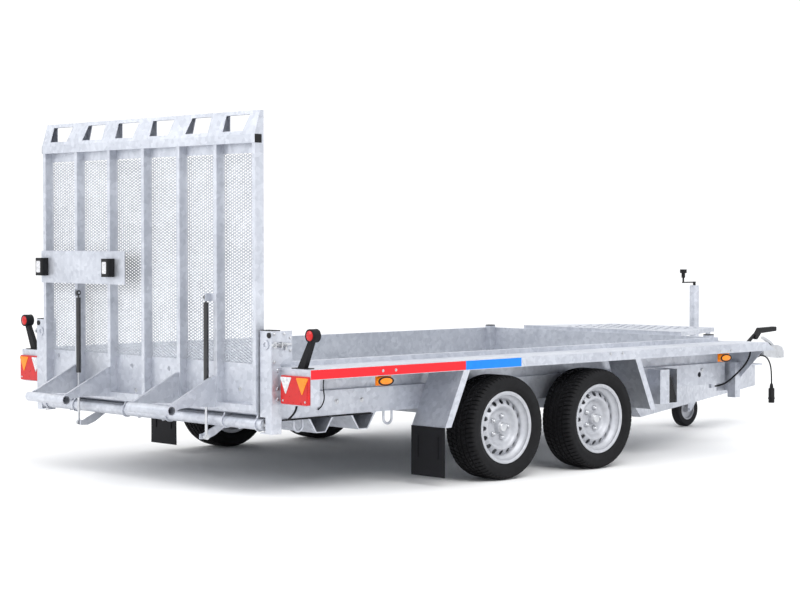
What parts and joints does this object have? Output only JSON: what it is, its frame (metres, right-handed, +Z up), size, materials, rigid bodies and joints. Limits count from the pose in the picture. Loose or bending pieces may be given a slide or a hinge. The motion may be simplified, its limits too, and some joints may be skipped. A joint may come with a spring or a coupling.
{
  "type": "tandem axle plant trailer",
  "caption": "Low galvanised trailer for small machines, with wheels outside a shallow bed, a tall mesh loading ramp, a V drawbar and a jockey wheel.",
  "frame": {"origin": "on the ground, under the middle of the overall length and width", "axes": "+X forward to the coupling, +Y to the left, +Z up"},
  "size_m": [5.61, 2.4098, 1.804],
  "materials": {
    "galvanised": "satin",
    "floor_plate": "satin",
    "tyre": "matte",
    "wheel": "satin",
    "black_rubber": "matte",
    "black_plastic": "matte",
    "red_lens": "gloss",
    "amber_lens": "gloss",
    "black_steel": "gloss",
    "bare_steel": "satin"
  },
  "bodies": {
    "chassis": {"bed_floor": "floor_plate", "bed_walls": "galvanised", "side_beams": "galvanised", "cross_members": "galvanised", "fenders": "galvanised", "fender_plates": "galvanised", "mudflaps": "black_rubber", "rear_posts": "galvanised", "rear_sill": "galvanised", "ramp_latches": "bare_steel", "wiring_cable": "black_rubber", "lead": "black_rubber", "lead_plug": "black_plastic", "rear_lamps": "red_lens", "outline_markers": "black_rubber", "side_markers": "amber_lens", "axle_tubes": "galvanised", "swing_arms": "galvanised", "drawbar_beams": "galvanised", "step_grating": "galvanised", "overrun_housing": "galvanised", "gaiter": "black_rubber", "coupling_head": "bare_steel", "handbrake_lever": "black_plastic", "jack_tube": "galvanised", "jack_crank": "black_plastic", "wheel_chocks": "black_plastic"},
    "ramp": {"ramp_frame": "galvanised", "ramp_mesh": "galvanised", "ramp_lip": "galvanised", "ramp_props": "galvanised", "plate_holder": "galvanised", "plate_lamps": "black_plastic", "ramp_caps": "black_plastic"},
    "cylinder_left": {"gas_cylinder_left": "black_steel"},
    "cylinder_right": {"gas_cylinder_right": "black_steel"},
    "rod_left": {"gas_rod_left": "bare_steel"},
    "rod_right": {"gas_rod_right": "bare_steel"},
    "jack_slider": {"jack_shaft": "galvanised"},
    "jack_swivel": {"jack_fork": "galvanised"},
    "jack_roller": {"jack_rim": "wheel", "jack_tyre": "black_rubber"},
    "roadwheel_rear_left": {"tyre_rear_left": "tyre", "wheel_rear_left": "wheel"},
    "roadwheel_rear_right": {"tyre_rear_right": "tyre", "wheel_rear_right": "wheel"},
    "roadwheel_front_left": {"tyre_front_left": "tyre", "wheel_front_left": "wheel"},
    "roadwheel_front_right": {"tyre_front_right": "tyre", "wheel_front_right": "wheel"}
  },
  "joints": [
    {"name": "ramp_hinge", "type": "hinge", "parent": "chassis", "child": "ramp", "pos_m": [-2.475, 0, 0.345], "axis": [0, -1, 0], "range_deg": [0, 103]},
    {"name": "cylinder_left_pivot", "type": "hinge", "parent": "ramp", "child": "cylinder_left", "pos_m": [-2.526, 0.52967, 0.93], "axis": [0, -1, 0], "range_deg": [-5, 0]},
    {"name": "rod_left_slide", "type": "slide", "parent": "cylinder_left", "child": "rod_left", "axis": [0, 0, 1], "range_m": [0, 0.1475]},
    {"name": "cylinder_right_pivot", "type": "hinge", "parent": "ramp", "child": "cylinder_right", "pos_m": [-2.526, -0.52967, 0.93], "axis": [0, -1, 0], "range_deg": [-5, 0]},
    {"name": "rod_right_slide", "type": "slide", "parent": "cylinder_right", "child": "rod_right", "axis": [0, 0, 1], "range_m": [0, 0.1475]},
    {"name": "roadwheel_rear_left_spin", "type": "hinge", "parent": "chassis", "child": "roadwheel_rear_left", "pos_m": [-1.13, 1.0895, 0.2625], "axis": [0, 1, 0], "continuous": true},
    {"name": "roadwheel_rear_right_spin", "type": "hinge", "parent": "chassis", "child": "roadwheel_rear_right", "pos_m": [-1.13, -1.0895, 0.2625], "axis": [0, 1, 0], "continuous": true},
    {"name": "roadwheel_front_left_spin", "type": "hinge", "parent": "chassis", "child": "roadwheel_front_left", "pos_m": [-0.42, 1.0895, 0.2625], "axis": [0, 1, 0], "continuous": true},
    {"name": "roadwheel_front_right_spin", "type": "hinge", "parent": "chassis", "child": "roadwheel_front_right", "pos_m": [-0.42, -1.0895, 0.2625], "axis": [0, 1, 0], "continuous": true},
    {"name": "jack_slide", "type": "slide", "parent": "chassis", "child": "jack_slider", "axis": [0, 0, 1], "range_m": [0, 0.125]},
    {"name": "jack_swivel", "type": "hinge", "parent": "jack_slider", "child": "jack_swivel", "pos_m": [1.875, 0, 0.25], "axis": [0, 0, 1], "continuous": true},
    {"name": "jack_roller_spin", "type": "hinge", "parent": "jack_swivel", "child": "jack_roller", "pos_m": [1.78, 0, 0.11], "axis": [0, 1, 0], "continuous": true}
  ],
  "couplings": [
    {"joint": "cylinder_left_pivot", "follows": "ramp_hinge", "ratio": -0.035},
    {"joint": "rod_left_slide", "follows": "ramp_hinge", "m_per_rad": 0.082},
    {"joint": "cylinder_right_pivot", "follows": "ramp_hinge", "ratio": -0.035},
    {"joint": "rod_right_slide", "follows": "ramp_hinge", "m_per_rad": 0.082}
  ]
}
